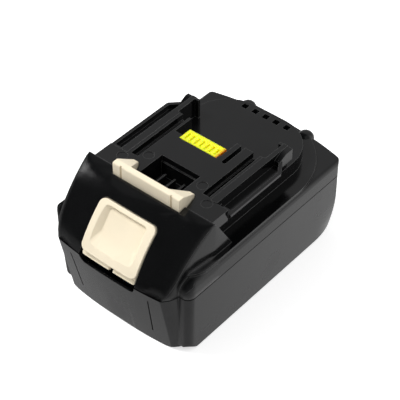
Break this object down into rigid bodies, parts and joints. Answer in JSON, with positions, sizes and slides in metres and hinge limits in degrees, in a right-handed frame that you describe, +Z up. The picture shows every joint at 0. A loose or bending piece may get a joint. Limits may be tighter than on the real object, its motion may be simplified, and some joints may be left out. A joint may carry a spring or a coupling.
{
  "type": "power tool battery pack",
  "caption": "Slide-on battery pack for cordless tools, with rail grooves, terminal slots, a signal connector and a spring-loaded release latch.",
  "frame": {"origin": "middle of the bottom face, under the centre of the bounding box", "axes": "+Z up, -Y towards the end with the release button, +X to the right seen from that end"},
  "size_m": [0.0772, 0.1192, 0.0671],
  "materials": {
    "upper_case_plastic": "satin moulded black, glossier on the front slope",
    "lower_case_plastic": "fine grained black",
    "ivory_plastic": "satin moulded ivory",
    "yellow_plastic": "satin moulded yellow",
    "spring_steel": "drawn wire",
    "screw_steel": "zinc plated",
    "contact_nickel": "nickel plated",
    "board_laminate": "solder mask",
    "chip_black": "moulded compound",
    "fuse_cream": "moulded",
    "sensor_white": "coated bead",
    "holder_plastic": "moulded grey",
    "insulating_sheet": "fibre paper",
    "foam": "closed-cell foam",
    "cell_can": "shrink sleeve over a metal can"
  },
  "bodies": {
    "pack": {"lower_case": "lower_case_plastic", "upper_case": "upper_case_plastic", "left_latch_spring": "spring_steel", "right_latch_spring": "spring_steel", "case_screws": "screw_steel", "signal_connector": "yellow_plastic", "signal_contacts": "contact_nickel", "positive_terminal": "contact_nickel", "negative_terminal": "contact_nickel", "control_board": "board_laminate", "controller_chip": "chip_black", "board_fuse": "fuse_cream", "board_screws": "screw_steel", "temperature_sensor": "sensor_white", "left_cell_holder": "holder_plastic", "right_cell_holder": "holder_plastic", "left_insulator": "insulating_sheet", "right_insulator": "insulating_sheet", "foam_pads": "foam", "link_strip_1": "contact_nickel", "link_strip_2": "contact_nickel", "link_strip_3": "contact_nickel", "link_strip_4": "contact_nickel", "positive_strip": "contact_nickel", "negative_strip": "contact_nickel", "cell_1": "cell_can", "cell_2": "cell_can", "cell_3": "cell_can", "cell_4": "cell_can", "cell_5": "cell_can", "cell_6": "cell_can", "cell_7": "cell_can", "cell_8": "cell_can", "cell_9": "cell_can", "cell_10": "cell_can"},
    "latch": {"release_latch": "ivory_plastic"}
  },
  "joints": [
    {"name": "latch_press", "type": "slide", "parent": "pack", "child": "latch", "axis": [0, 0, -1], "range_m": [0, 0.004], "stiffness_N_per_m": 1000, "springref_m": -0.003, "deforming": ["left_latch_spring", "right_latch_spring"]}
  ]
}
